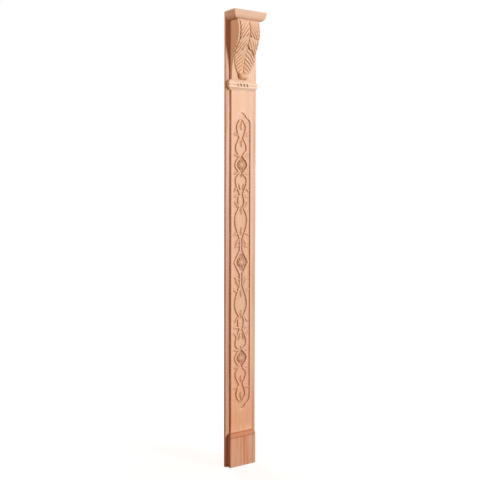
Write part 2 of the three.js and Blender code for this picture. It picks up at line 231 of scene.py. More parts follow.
def loft(name, rings):
    """A closed mesh through rings of equally many points, with flat ends."""
    rings = np.asarray(rings, float)
    rows, count = rings.shape[:2]
    grid = np.arange(rows * count).reshape(rows, count)
    here, above = grid[:-1], grid[1:]
    sides = np.stack([here, np.roll(here, -1, 1), np.roll(above, -1, 1), above], axis=-1)
    faces = sides.reshape(-1, 4).tolist() + [grid[0, ::-1].tolist(), grid[-1].tolist()]
    mesh = bpy.data.meshes.new(name)
    mesh.from_pydata(rings.reshape(-1, 3).tolist(), [], faces)
    mesh.update()
    return mesh


def mark_wear(mesh):
    """Marks how sharply the surface turns outwards at every point, where hands and dusters rub."""
    shape = bmesh.new()
    shape.from_mesh(mesh)
    turns = [max(edge.calc_face_angle_signed(0) for edge in point.link_edges) for point in shape.verts]
    shape.free()
    wear = np.clip(np.divide(turns, WEAR_TURN), 0, 1)
    mesh.attributes.new("worn", "FLOAT", "POINT").data.foreach_set("value", wear)


def show(name, mesh, material):
    """The mesh as an object at the origin, smooth but for its sharp edges."""
    mark_wear(mesh)
    mesh.shade_smooth()
    mesh.set_sharp_from_angle(angle=CREASE)
    mesh.materials.clear()
    mesh.materials.append(material)
    piece = bpy.data.objects.new(name, mesh)
    bpy.context.scene.collection.objects.link(piece)
    return piece


def corner(x, y, radius, first_turn):
    """A quarter circle inside a corner of the plan, anticlockwise from a turn in degrees.

    A point just before and just after it keeps the shading of the flats beside it flat."""
    turns = np.radians(first_turn + np.linspace(0, 90, CORNER_STEPS))
    facing_x, facing_y = np.sign(np.cos(turns.mean())), np.sign(np.sin(turns.mean()))
    middle = np.array([x - facing_x * radius, y - facing_y * radius])
    arc = radius * np.stack([np.cos(turns), np.sin(turns)], axis=1)
    before = arc[0] - CORNER_SUPPORT * arc[-1]
    after = arc[-1] - CORNER_SUPPORT * arc[0]
    return middle + np.vstack([before, arc, after])


def at_height(plan, z):
    """A plan outline lifted to a height."""
    return np.column_stack([plan, np.full(len(plan), z)])


board_rings = []
for z, inset in (
    (BOARD_LOW.z, BOARD_ARRIS / 2),
    (BOARD_LOW.z + BOARD_ARRIS / 2, 0),
    (BOARD_HIGH.z - BOARD_ARRIS / 2, 0),
    (BOARD_HIGH.z, BOARD_ARRIS / 2),
):
    board_rings.append(at_height(np.vstack([
        corner(BOARD_LOW.x + inset, BOARD_HIGH.y - inset, BOARD_ARRIS, 90),
        corner(BOARD_LOW.x + inset, BOARD_LOW.y + inset, BOARD_ARRIS, 180),
        corner(BOARD_HIGH.x - inset, BOARD_LOW.y + inset, BOARD_ARRIS, 270),
        corner(BOARD_HIGH.x - inset, BOARD_HIGH.y - inset, BOARD_ARRIS, 0),
    ]), z))
board_wood = beech_material("board_wood", BOARD_SHADED_PALE, BOARD_SHADED_DEEP, BOARD_LOG_PLACE)
board = show("back_board_look", loft("back_board", board_rings), board_wood)
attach(board, "root")
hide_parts("back_board")


# Plinth: a plain beech block glued on the foot of the back board. Its top is moulded to a
# quarter round over a fine quirk, and dies into the shaft standing on it.

PLINTH_LOW, PLINTH_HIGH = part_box("plinth")
PLINTH_ROUND = 0.022
PLINTH_ROUND_STEPS = 12
PLINTH_QUIRK = 0.0014
PLINTH_QUIRK_HEIGHT = 0.0045
PLINTH_QUIRK_SLOPE = 0.0008
PLINTH_ARRIS = 0.0014
PLINTH_PALE = (0.570, 0.264, 0.154, 1)
PLINTH_DEEP = (0.486, 0.208, 0.113, 1)
PLINTH_LOG_PLACE = (0.08, 0.35, 0.2)
SHAFT_LOW, SHAFT_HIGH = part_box("shaft")
SHAFT_HALF_WIDTH = SHAFT_HIGH.x
SHAFT_FACE = SHAFT_LOW.y


def moulded_plan(half_width, front, back, radius):
    """A plan with a square back and rounded front corners."""
    return np.vstack([
        [(-half_width, back)],
        corner(-half_width, front, radius, 180),
        corner(half_width, front, radius, 270),
        [(half_width, back)],
    ])


plinth_levels = [
    (PLINTH_LOW.z, PLINTH_HIGH.x - PLINTH_ARRIS / 2, PLINTH_LOW.y + PLINTH_ARRIS / 2),
    (PLINTH_LOW.z + PLINTH_ARRIS / 2, PLINTH_HIGH.x, PLINTH_LOW.y),
]
quirk_top = PLINTH_HIGH.z - PLINTH_ROUND - PLINTH_QUIRK_SLOPE
for z, inset in (
    (quirk_top - PLINTH_QUIRK_HEIGHT - PLINTH_QUIRK_SLOPE, 0),
    (quirk_top - PLINTH_QUIRK_HEIGHT, PLINTH_QUIRK),
    (quirk_top, PLINTH_QUIRK),
):
    plinth_levels.append((z, PLINTH_HIGH.x - inset, PLINTH_LOW.y + inset))
for angle in np.linspace(0, math.pi / 2, PLINTH_ROUND_STEPS):
    plinth_levels.append((
        PLINTH_HIGH.z - PLINTH_ROUND * (1 - math.sin(angle)),
        SHAFT_HALF_WIDTH + (PLINTH_HIGH.x - SHAFT_HALF_WIDTH) * math.cos(angle),
        SHAFT_FACE + (PLINTH_LOW.y - SHAFT_FACE) * math.cos(angle),
    ))
plinth_rings = [
    at_height(moulded_plan(half_width, front, BOARD_FACE, PLINTH_ARRIS), z)
    for z, half_width, front in plinth_levels
]
plinth_wood = beech_material("plinth_wood", PLINTH_PALE, PLINTH_DEEP, PLINTH_LOG_PLACE)
plinth = show("plinth_look", loft("plinth", plinth_rings), plinth_wood)
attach(plinth, "root")
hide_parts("plinth")


# Shaft: a narrower beech board glued on the back board, with a long panel sunk into it by hand.
# Two vine stems weave along the panel round rosettes, leaves and buds, left standing from the
# block, and the ground between them is matted with a punch.

SHAFT_THICK = BOARD_FACE - SHAFT_FACE
SHAFT_ARRIS = 0.001
CARVED_PALE = (0.790, 0.542, 0.406, 1)
CARVED_DEEP = (0.655, 0.400, 0.268, 1)
CARVED_LOG_PLACE = (0.02, 0.1, 0.45)
PANEL_MIDDLE_UP = 1.0995
PANEL_MIDDLE = FOOT + PANEL_MIDDLE_UP
PANEL_HALF_WIDTH = 0.0545
PANEL_HALF_STRAIGHT = 0.726
PANEL_SHOULDER = (0.030, 0.762)
PANEL_HALF_LENGTH = 0.7895
PANEL_HEAD_SLACK = 0.006
PANEL_DEPTH = 0.006
PANEL_FLOOR = 0.0014
PANEL_WALL_RUN = 0.0011
PANEL_TIP_HALF_WIDTH = 0.003
PANEL_CURVE_STEPS = 30
PANEL_ROW_STEP = 0.002
PANEL_END_STEP = 0.0005
PLAIN_ROW_STEP = 0.05
# Columns of half a row: up to the stem, over it, to the wall, up it, over the rail and at its end
PANEL_COLUMNS = (16, 10, 20, 1, 4, 1)
SAME_PLACE = 1e-7
STEM_HALF_WIDTH = 0.0058
STEM_RISE = 0.0056
STEM_CROWN_POWER = 2.4
STEM_SIDE_POWER = 0.6
STEM_WAIST = 0.0085
STEM_END_FADE = 0.006
STEM_SLOPE_STEP = 0.001
STEM_WIDEST_SLANT = 1.9
STEM_NEAREST = 0.0004
STEM_LEAST_BREADTH = 1.5
STEM_INNER_LIMIT = 0.45
STEM_OUTER_LIMIT = 0.92
STEM_FOOT_SHARE = 0.05
STEM_CUT_DEPTH = 0.0008
STEM_CUT_WIDTH = 0.0026
LOZENGE_REACH = 0.044
LOZENGE_LENGTH = 0.062
LOOP_FULLNESS = 1.15
# The stems part and meet in loops, from the panel's middle out to both ends
VINE_LOOPS = (
    {"start": 0.122, "widest": 0.228, "end": 0.292, "reach": 0.0385, "close": 0.013},
    {"start": 0.292, "widest": 0.322, "end": 0.362, "reach": 0.019, "close": 0.010},
    {"start": 0.362, "widest": 0.436, "end": 0.472, "reach": 0.035, "close": 0.009},
    {"start": 0.472, "widest": 0.516, "end": 0.561, "reach": 0.038, "close": 0.009},
    {"start": 0.561, "widest": 0.600, "end": 0.657, "reach": 0.034, "close": 0.012},
    {"start": 0.657, "widest": 0.712, "end": 0.756, "reach": 0.028, "close": 0.005},
)
# Leaves on all four quarters; each turns from straight along the panel to its edge, in degrees
SIDE_LEAVES = (
    {"at": 0.094, "aside": 0.013, "length": 0.038, "width": 0.016, "turn": 116},
    {"at": 0.126, "aside": 0.015, "length": 0.050, "width": 0.021, "turn": 152},
    {"at": 0.158, "aside": 0.024, "length": 0.036, "width": 0.016, "turn": 118},
    {"at": 0.292, "aside": 0.020, "length": 0.042, "width": 0.017, "turn": 38},
    {"at": 0.352, "aside": 0.014, "length": 0.038, "width": 0.016, "turn": 96},
    {"at": 0.400, "aside": 0.026, "length": 0.040, "width": 0.016, "turn": 140},
    {"at": 0.384, "aside": 0.008, "length": 0.036, "width": 0.012, "turn": 14},
    {"at": 0.474, "aside": 0.013, "length": 0.037, "width": 0.015, "turn": 98},
    {"at": 0.566, "aside": 0.009, "length": 0.026, "width": 0.012, "turn": 34},
    {"at": 0.560, "aside": 0.013, "length": 0.037, "width": 0.015, "turn": 74},
    {"at": 0.670, "aside": 0.022, "length": 0.034, "width": 0.016, "turn": 70},
)
# Buds on the centre line; a negative length hangs towards the middle
BUDS = (
    {"at": 0.146, "length": 0.042, "width": 0.020},
    {"at": 0.298, "length": -0.044, "width": 0.022},
    {"at": 0.478, "length": -0.028, "width": 0.014},
    {"at": 0.646, "length": -0.036, "width": 0.018},
    {"at": 0.700, "length": 0.044, "width": 0.022},
)
LEAF_RISE = 0.0070
LEAF_STALK_RISE = 0.4
LEAF_STATIONS = 26
LEAF_COLUMNS = 17
LEAF_DOME = 0.55
LEAF_RIDGE = 0.45
LEAF_RIDGE_POWER = 1.3
LEAF_ROOT = 0.18
VEIN_SLANT = 1.1
VEIN_DEPTH = 0.22
LEAF_FORM = {"ends": (0.08, 0.98), "skew": 0.8, "veins": 5}
PETAL_FORM = {"ends": (0.12, 0.90), "skew": 1.3, "veins": 0}
ROSETTE_PLACES = (-0.516, 0.0, 0.516)
ROSETTE_RADIUS = 0.025
ROSETTE_PETALS = 8
ROSETTE_PETAL_WIDTH = 0.0185
ROSETTE_PETAL_RISE = 0.0050
ROSETTE_RISE = 0.0060
ROSETTE_EYE_RADIUS = 0.008
ROSETTE_EYE_FACETS = {"Segments": 32, "Rings": 16}
HOLLOW_OFFSET = 0.035
HOLLOW_HALF_SIZE = (0.015, 0.013)
HOLLOW_DEPTH = 0.0030
HOLLOW_STEEPNESS = 2
HOLLOW_RING_RADIUS = 0.022
HOLLOW_RING_HALF_WIDTH = 0.016
HOLLOW_RING_DEPTH = 0.0024
PUNCH_PER_METRE = 210.0
PUNCH_REACH = 0.45
PUNCH_DEPTH = 0.0011
GROWN_LEAST = 0.0001
PROBE_LENGTH = 0.1
# Painted shade in the panel's hollows and on its leaves, painted highlight on its ridges
TONE_STEPS = 9
HOLLOW_PAINTED_SHADE = 0.75
VINE_SHADE_AND_HIGHLIGHT = 0.65
LEAF_PAINTED_SHADE = 0.0012
WELD = 0.00012


def bezier(first, handle, last):
    """Points on a curve with one handle."""
    share = np.linspace(0, 1, PANEL_CURVE_STEPS)[:, None]
    first, handle, last = np.array(first), np.array(handle), np.array(last)
    return first * (1 - share) ** 2 + handle * 2 * share * (1 - share) + last * share ** 2


def panel_half_width(along):
    """Half the width of the sunk panel, by the distance from its middle."""
    shoulder_handle = (PANEL_HALF_WIDTH, PANEL_SHOULDER[1] - PANEL_HEAD_SLACK)
    head_handle = (PANEL_SHOULDER[0] - PANEL_HEAD_SLACK, PANEL_HALF_LENGTH - PANEL_HEAD_SLACK)
    outline = np.vstack([
        bezier((PANEL_HALF_WIDTH, PANEL_HALF_STRAIGHT), shoulder_handle, PANEL_SHOULDER),
        bezier(PANEL_SHOULDER, head_handle, (0, PANEL_HALF_LENGTH))[1:],
    ])
    return np.interp(along, outline[:, 1], outline[:, 0])


def stem_reach(along):
    """Distance of a stem from the centre line, by the distance from the panel's middle."""
    if along < LOZENGE_LENGTH:
        return LOZENGE_REACH + (STEM_WAIST - LOZENGE_REACH) * abs(along) / LOZENGE_LENGTH
    opening = STEM_WAIST
    for loop in VINE_LOOPS:
        if loop["start"] <= along <= loop["end"]:
            rising = along < loop["widest"]
            far_end = loop["start"] if rising else loop["end"]
            waist = opening if rising else loop["close"]
            share = (along - far_end) / (loop["widest"] - far_end)
            return waist + (loop["reach"] - waist) * math.sin(share * math.pi / 2) ** LOOP_FULLNESS
        opening = loop["close"]
    return STEM_WAIST if along < VINE_LOOPS[0]["start"] else VINE_LOOPS[-1]["close"]


def half_row(along):
    """Half a row of the face: distance aside, height over it, ground, panel and extra depth."""
    distance = abs(along)
    carved = distance < PANEL_HALF_LENGTH
    beyond = max(0.0, distance - PANEL_HALF_LENGTH)
    tip = min(PANEL_HALF_WIDTH, PANEL_TIP_HALF_WIDTH + beyond)
    wall_top = max(tip, float(panel_half_width(distance)))
    wall_foot = wall_top - min(PANEL_WALL_RUN, wall_top / 2)
    reach = stem_reach(distance)
    nearer, further = max(0.0, distance - STEM_SLOPE_STEP), distance + STEM_SLOPE_STEP
    slope = (stem_reach(further) - stem_reach(nearer)) / (2 * STEM_SLOPE_STEP)
    spread = STEM_HALF_WIDTH * min(STEM_WIDEST_SLANT, math.hypot(1, slope))
    inner = min(max(reach - spread, STEM_NEAREST), wall_foot * STEM_INNER_LIMIT)
    outer = min(max(reach + spread, inner * STEM_LEAST_BREADTH), wall_foot * STEM_OUTER_LIMIT)
    rail_end = SHAFT_HALF_WIDTH - SHAFT_ARRIS
    stops = (0, inner, outer, wall_foot, wall_top, rail_end - CORNER_SUPPORT * SHAFT_ARRIS, rail_end)
    aside = np.concatenate([
        np.linspace(start, end, count, endpoint=False)
        for start, end, count in zip(stops, stops[1:], PANEL_COLUMNS)
    ])
    height = np.zeros(len(aside))
    ground = np.zeros(len(aside))
    deep = np.zeros(len(aside))
    sunk = carved & (aside < wall_top - SAME_PLACE)
    if carved:
        across = np.clip(np.abs(aside - reach) / spread, 0, 1)
        fade = np.clip((VINE_LOOPS[-1]["end"] - distance) / STEM_END_FADE, 0, 1)
        stem = fade * STEM_RISE * (1 - across ** STEM_CROWN_POWER) ** STEM_SIDE_POWER
        beside = np.abs(aside - reach) - spread
        depth = PANEL_DEPTH + fade * STEM_CUT_DEPTH * np.exp(-(beside / STEM_CUT_WIDTH) ** 2)
        for place in ROSETTE_PLACES:
            ring = (np.hypot(aside, along - place) - HOLLOW_RING_RADIUS) / HOLLOW_RING_HALF_WIDTH
            depth = depth + HOLLOW_RING_DEPTH * np.clip(1 - ring ** 2, 0, 1)
            for side in (-1, 1):
                drop = (along - place - side * HOLLOW_OFFSET) / HOLLOW_HALF_SIZE[1]
                bowl = 1 - (aside / HOLLOW_HALF_SIZE[0]) ** 2 - drop ** 2
                depth = depth + HOLLOW_DEPTH * np.clip(bowl * HOLLOW_STEEPNESS, 0, 1)
        depth = np.minimum(depth, SHAFT_THICK - PANEL_FLOOR)
        bottom = np.where(stem > 0, np.maximum(stem - PANEL_DEPTH, -depth), -depth)
        height = np.where(sunk, bottom, 0)
        ground = np.where(sunk & (stem < STEM_RISE * STEM_FOOT_SHARE), 1.0, 0.0)
        ground[aside >= wall_foot - SAME_PLACE] = 0
        deep = np.where(ground > 0, depth - PANEL_DEPTH, 0)
    return aside, height, ground, sunk.astype(float), deep


def shaft_mesh():
    """The shaft with its sunk panel and stems, and its ground marked for the punch."""
    edge_turns = np.linspace(0, math.pi / 2, CORNER_STEPS)
    edge_aside = SHAFT_HALF_WIDTH - SHAFT_ARRIS * (1 - np.sin(edge_turns))
    edge_aside = np.append(edge_aside, SHAFT_HALF_WIDTH)
    edge_height = SHAFT_ARRIS * (np.cos(edge_turns) - 1)
    edge_height = np.append(edge_height, -SHAFT_ARRIS * (1 + CORNER_SUPPORT))
    plain_from = PANEL_HALF_LENGTH + PANEL_ROW_STEP
    just_inside, just_outside = PANEL_HALF_LENGTH - PANEL_END_STEP, PANEL_HALF_LENGTH + PANEL_END_STEP
    plain_low = np.arange(SHAFT_LOW.z - PANEL_MIDDLE, -plain_from, PLAIN_ROW_STEP)
    carved_rows = np.arange(-just_inside, PANEL_HALF_LENGTH, PANEL_ROW_STEP)
    plain_high = np.arange(SHAFT_HIGH.z - PANEL_MIDDLE, plain_from, -PLAIN_ROW_STEP)[::-1]
    rows = np.concatenate([
        plain_low, [-just_outside], carved_rows, [just_inside, just_outside], plain_high,
    ])
    plain_edge = np.zeros(len(edge_aside))
    rings = []
    shares = {"ground": [], "sunk": [], "deep": []}
    for along in rows:
        aside, height, ground, sunk, deep = half_row(along)
        aside = np.concatenate([aside, edge_aside])
        height = np.concatenate([height, edge_height])
        across = np.concatenate([[-SHAFT_HALF_WIDTH], -aside[:0:-1], aside, [SHAFT_HALF_WIDTH]])
        front = SHAFT_FACE - np.concatenate([height[:0:-1], height])
        ahead = np.concatenate([[BOARD_FACE], front, [BOARD_FACE]])
        rings.append(np.column_stack([across, ahead, np.full(len(across), PANEL_MIDDLE + along)]))
        for name, half in (("ground", ground), ("sunk", sunk), ("deep", deep)):
            half = np.concatenate([half, plain_edge])
            shares[name].append(np.concatenate([[0], half[:0:-1], half, [0]]))
    mesh = loft("shaft", rings)
    for name, values in shares.items():
        mesh.attributes.new(name, "FLOAT", "POINT").data.foreach_set("value", np.concatenate(values))
    return mesh


def leaf_mesh(name, ends, skew, veins):
    """The upper side of a leaf or petal along +Z, one long, wide and high, sunk at its edges."""
    share = np.linspace(0, 1, LEAF_STATIONS)[:, None]
    side = np.linspace(-1, 1, LEAF_COLUMNS)[None, :]
    aside = np.abs(side)
    stalk, tip = ends
    breadth = np.sin(math.pi * (stalk + (tip - stalk) * share ** skew))
    crown = LEAF_DOME * np.sqrt(1 - side ** 2) + LEAF_RIDGE * (1 - aside) ** LEAF_RIDGE_POWER
    vein = (1 + np.cos(2 * math.pi * (veins * share - VEIN_SLANT * aside))) / 2
    crown = crown * (1 - VEIN_DEPTH * vein * np.sin(math.pi * aside))
    swollen = LEAF_STALK_RISE + (1 - LEAF_STALK_RISE) * breadth
    rise = swollen * (crown * (1 + LEAF_ROOT) - LEAF_ROOT)
    points = np.stack([breadth * side / 2, -rise, share + 0 * side], axis=-1).reshape(-1, 3)
    grid = np.arange(LEAF_STATIONS * LEAF_COLUMNS).reshape(LEAF_STATIONS, LEAF_COLUMNS)
    faces = np.stack([grid[:-1, :-1], grid[:-1, 1:], grid[1:, 1:], grid[1:, :-1]], axis=-1)
    mesh = bpy.data.meshes.new(name)
    mesh.from_pydata(points.tolist(), [], faces.reshape(-1, 4).tolist())
    return mesh


def helper(name, mesh):
    """An object that only a node tree reads."""
    made = bpy.data.objects.new(name, mesh)
    bpy.context.scene.collection.objects.link(made)
    return made


def places_mesh(name, places):
    """Points on the panel's ground, each with the turn and the size of what grows there."""
    mesh = bpy.data.meshes.new(name)
    ground = SHAFT_FACE + PANEL_DEPTH
    mesh.from_pydata([(aside, ground, PANEL_MIDDLE + along) for aside, along, *_ in places], [], [])
    turns = [math.radians(place[2]) for place in places]
    sizes = np.array([place[3] for place in places], float).ravel()
    mesh.attributes.new("turn", "FLOAT", "POINT").data.foreach_set("value", turns)
    mesh.attributes.new("size", "FLOAT_VECTOR", "POINT").data.foreach_set("vector", sizes)
    return mesh


def add_painted_shading(tree, geometry, steps, where, deep):
    """Marks every point for painted shade by how far it lies below the surface around it and by a given
    extra shade, and for painted highlight by how far it stands out.
    """
    place = add_node(tree, "GeometryNodeInputPosition").outputs[0]
    around = add_node(tree, "GeometryNodeBlurAttribute", {
        "Value": place,
        "Iterations": steps,
    }, data_type="FLOAT_VECTOR").outputs[0]
    stands = add_node(tree, "ShaderNodeVectorMath", {0: place, 1: around}, operation="SUBTRACT")
    facing = add_node(tree, "GeometryNodeInputNormal").outputs[0]
    towards = {0: stands.outputs[0], 1: facing}
    tone = add_node(tree, "ShaderNodeVectorMath", towards, operation="DOT_PRODUCT").outputs["Value"]
    tone = calculate(tree, "MULTIPLY", tone, where)
    return add_node(tree, "GeometryNodeStoreNamedAttribute", {
        "Geometry": geometry,
        "Name": "carve",
        "Value": calculate(tree, "SUBTRACT", tone, deep),
    }, data_type="FLOAT", domain="POINT").outputs[0]


def geometry_tree(name, **inputs):
    """A new modifier tree with a geometry in and out and its named inputs."""
    tree = bpy.data.node_groups.new(name, "GeometryNodeTree")
    tree.is_modifier = True
    tree.interface.new_socket("Geometry", in_out="INPUT", socket_type="NodeSocketGeometry")
    tree.interface.new_socket("Geometry", in_out="OUTPUT", socket_type="NodeSocketGeometry")
    for title, kind in inputs.items():
        tree.interface.new_socket(title, in_out="INPUT", socket_type=f"NodeSocket{kind}")
    return tree, add_node(tree, "NodeGroupInput").outputs


def end_tree(tree, geometry, material):
    """Closes a tree: instances become real mesh, with their material on it."""
    real = add_node(tree, "GeometryNodeRealizeInstances", {"Geometry": geometry}).outputs[0]
    painted = add_node(tree, "GeometryNodeSetMaterial", {"Geometry": real, "Material": material})
    add_node(tree, "NodeGroupOutput", {"Geometry": painted.outputs[0]})


def run_tree(piece, tree, **values):
    """The piece's mesh becomes what the tree makes of it."""
    modifier = piece.modifiers.new(tree.name, "NODES")
    modifier.node_group = tree
    for socket in tree.interface.items_tree:
        if socket.in_out == "INPUT" and socket.name in values:
            modifier[socket.identifier] = values[socket.name]
    made = piece.evaluated_get(bpy.context.evaluated_depsgraph_get())
    mesh = bpy.data.meshes.new_from_object(made)
    piece.modifiers.clear()
    piece.data = mesh
    mesh.shade_smooth()
    mesh.set_sharp_from_angle(angle=CREASE)


def vine_tree():
    """Lays leaves, petals and eyes on the panel, mats its ground, and marks painted shade in its deep
    hollows and on its leaves and painted highlight on its ridges.
    """
    tree, given = geometry_tree(
        "carved_vine",
        Leaf="Object", LeafPlaces="Object", Petal="Object", PetalPlaces="Object", EyePlaces="Object",
        PunchScale="Float", PunchDepth="Float", ToneSteps="Int", VineTone="Float", HollowTone="Float",
        LeafTone="Float", Weld="Float", Material="Material",
    )

    def marked(name, kind="FLOAT"):
        return add_node(tree, "GeometryNodeInputNamedAttribute", {"Name": name}, data_type=kind).outputs[0]

    turned = add_node(tree, "ShaderNodeCombineXYZ", {"Y": marked("turn")}).outputs[0]
    rotation = add_node(tree, "FunctionNodeEulerToRotation", {"Euler": turned}).outputs[0]
    size = marked("size", "FLOAT_VECTOR")
    eye = add_node(tree, "GeometryNodeMeshUVSphere", {"Radius": 1.0, **ROSETTE_EYE_FACETS})

    def placed(places, shape):
        points = add_node(tree, "GeometryNodeObjectInfo", {"Object": places}).outputs["Geometry"]
        instances = add_node(tree, "GeometryNodeInstanceOnPoints", {
            "Points": points,
            "Instance": shape,
            "Rotation": rotation,
            "Scale": size,
        }).outputs[0]
        return add_node(tree, "GeometryNodeRealizeInstances", {"Geometry": instances}).outputs[0]

    growth = add_node(tree, "GeometryNodeJoinGeometry")
    for places, shape in (("LeafPlaces", "Leaf"), ("PetalPlaces", "Petal")):
        shown = add_node(tree, "GeometryNodeObjectInfo", {"Object": given[shape]}).outputs["Geometry"]
        tree.links.new(placed(given[places], shown), growth.inputs[0])
    tree.links.new(placed(given["EyePlaces"], eye.outputs[0]), growth.inputs[0])

    place = add_node(tree, "GeometryNodeInputPosition").outputs[0]
    parts = add_node(tree, "ShaderNodeSeparateXYZ", {0: place}).outputs

    def moved_to(y):
        inputs = {"X": parts["X"], "Y": y, "Z": parts["Z"]}
        return add_node(tree, "ShaderNodeCombineXYZ", inputs).outputs[0]

    hit = add_node(tree, "GeometryNodeRaycast", {
        "Target Geometry": growth.outputs[0],
        "Source Position": moved_to(-PROBE_LENGTH),
        "Ray Direction": (0, 1, 0),
        "Ray Length": PROBE_LENGTH,
    })
    hit_y = add_node(tree, "ShaderNodeSeparateXYZ", {0: hit.outputs["Hit Position"]}).outputs["Y"]
    front = calculate(tree, "MINIMUM", hit_y, parts["Y"])
    grown = calculate(tree, "GREATER_THAN", calculate(tree, "SUBTRACT", parts["Y"], front), GROWN_LEAST)
    bare = calculate(tree, "SUBTRACT", 1.0, grown)
    punch = add_node(tree, "ShaderNodeTexVoronoi", {"Vector": place, "Scale": given["PunchScale"]})
    mark = calculate(tree, "SUBTRACT", PUNCH_REACH, punch.outputs["Distance"])
    mark = calculate(tree, "MULTIPLY", mark, given["PunchDepth"])
    mark = calculate(tree, "MULTIPLY", mark, calculate(tree, "MULTIPLY", marked("ground"), bare))
    carved = moved_to(calculate(tree, "ADD", front, mark))
    moved = add_node(tree, "GeometryNodeSetPosition", {"Geometry": given["Geometry"], "Position": carved})
    # Painted shade: the deep hollows round the rosettes and everything grown on the ground are darkened
    deep = calculate(tree, "MULTIPLY", marked("deep"), given["HollowTone"])
    deep = calculate(tree, "MULTIPLY_ADD", grown, given["LeafTone"], deep)
    where = calculate(tree, "MULTIPLY", marked("sunk"), given["VineTone"])
    toned = add_painted_shading(tree, moved.outputs[0], given["ToneSteps"], where, deep)
    welded = add_node(tree, "GeometryNodeMergeByDistance", {"Geometry": toned, "Distance": given["Weld"]})
    end_tree(tree, welded.outputs[0], given["Material"])
    return tree


leaf_places = []
for flip_z in (1, -1):
    for bud in BUDS:
        points_up = bud["length"] * flip_z > 0
        size = (bud["width"], LEAF_RISE, abs(bud["length"]))
        leaf_places.append((0.0, bud["at"] * flip_z, 0 if points_up else 180, size))
    for flip_x in (1, -1):
        for leaf in SIDE_LEAVES:
            turn = leaf["turn"] if flip_z > 0 else 180 - leaf["turn"]
            size = (leaf["width"], LEAF_RISE, leaf["length"])
            leaf_places.append((leaf["aside"] * flip_x, leaf["at"] * flip_z, turn * flip_x, size))
petal_size = (ROSETTE_PETAL_WIDTH, ROSETTE_PETAL_RISE, ROSETTE_RADIUS)
petal_places = [
    (0.0, place, 360 * (petal + 0.5) / ROSETTE_PETALS, petal_size)
    for place in ROSETTE_PLACES
    for petal in range(ROSETTE_PETALS)
]
eye_places = [
    (0.0, place, 0, (ROSETTE_EYE_RADIUS, ROSETTE_RISE, ROSETTE_EYE_RADIUS))
    for place in ROSETTE_PLACES
]
carved_wood = beech_material("carved_wood", CARVED_PALE, CARVED_DEEP, CARVED_LOG_PLACE)
shaft = show("shaft_look", shaft_mesh(), carved_wood)
growth = {
    "Leaf": helper("vine_leaf", leaf_mesh("vine_leaf", **LEAF_FORM)),
    "LeafPlaces": helper("leaf_places", places_mesh("leaf_places", leaf_places)),
    "Petal": helper("petal", leaf_mesh("petal", **PETAL_FORM)),
    "PetalPlaces": helper("petal_places", places_mesh("petal_places", petal_places)),
    "EyePlaces": helper("eye_places", places_mesh("eye_places", eye_places)),
}
run_tree(
    shaft, vine_tree(), Material=carved_wood, PunchScale=PUNCH_PER_METRE, PunchDepth=PUNCH_DEPTH,
    ToneSteps=TONE_STEPS, VineTone=VINE_SHADE_AND_HIGHLIGHT, HollowTone=HOLLOW_PAINTED_SHADE, LeafTone=LEAF_PAINTED_SHADE, Weld=WELD,
    **growth,
)
for made in growth.values():
    bpy.data.objects.remove(made)
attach(shaft, "root")
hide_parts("shaft")


# Collar: a double-bead moulding cut from one length of beech and mitred round the front and
# sides of the shaft. Four slanting gouge cuts are sunk across the beads at the middle, their
# insides darkened with painted shade.

COLLAR_LOW, COLLAR_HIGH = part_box("collar")
COLLAR_BEVEL = 0.011
COLLAR_INSET = 0.012
COLLAR_ARRIS = 0.0012
BEAD_SINK = 0.0045
BEAD_STEPS = 14
SLOT_GAP = 0.0003
GOUGE_COUNT = 4
GOUGE_FIRST = -0.035
GOUGE_PITCH = 0.020
GOUGE_HALF_SIZE = (0.0045, 0.0085, 0.0098)
GOUGE_FACETS = {"Segments": 32, "Rings": 20}
GOUGE_PAINTED_SHADE = -0.0015
GOUGE_LEAN = math.radians(-24)
COLLAR_PALE = (0.885, 0.735, 0.602, 1)
COLLAR_DEEP = (0.755, 0.560, 0.420, 1)
COLLAR_LOG_PLACE = (0.6, 0.2, 0.9)
GRAIN_ACROSS = (0, math.pi / 2, 0)


def collar_mesh():
    """The beads' profile carried round three sides, hollow for the shaft behind it."""
    bead_height = (COLLAR_HIGH.z - COLLAR_LOW.z - 2 * COLLAR_BEVEL) / 2
    levels = [(COLLAR_LOW.z, COLLAR_INSET)]
    for bead in (0, 1):
        for share in np.linspace(0, 1, BEAD_STEPS)[bead:]:
            sink = BEAD_SINK * (1 - math.sqrt(1 - (2 * share - 1) ** 2))
            levels.append((COLLAR_LOW.z + COLLAR_BEVEL + (bead + share) * bead_height, sink))
    levels.append((COLLAR_HIGH.z, COLLAR_INSET))
    slot_half = SHAFT_HALF_WIDTH + SLOT_GAP
    slot_front = SHAFT_FACE - SLOT_GAP
    slot = [
        (slot_half, BOARD_FACE), (slot_half, slot_front),
        (-slot_half, slot_front), (-slot_half, BOARD_FACE),
    ]
    return loft("collar", [
        at_height(np.vstack([
            moulded_plan(COLLAR_HIGH.x - inset, COLLAR_LOW.y + inset, BOARD_FACE, COLLAR_ARRIS), slot,
        ]), z)
        for z, inset in levels
    ])


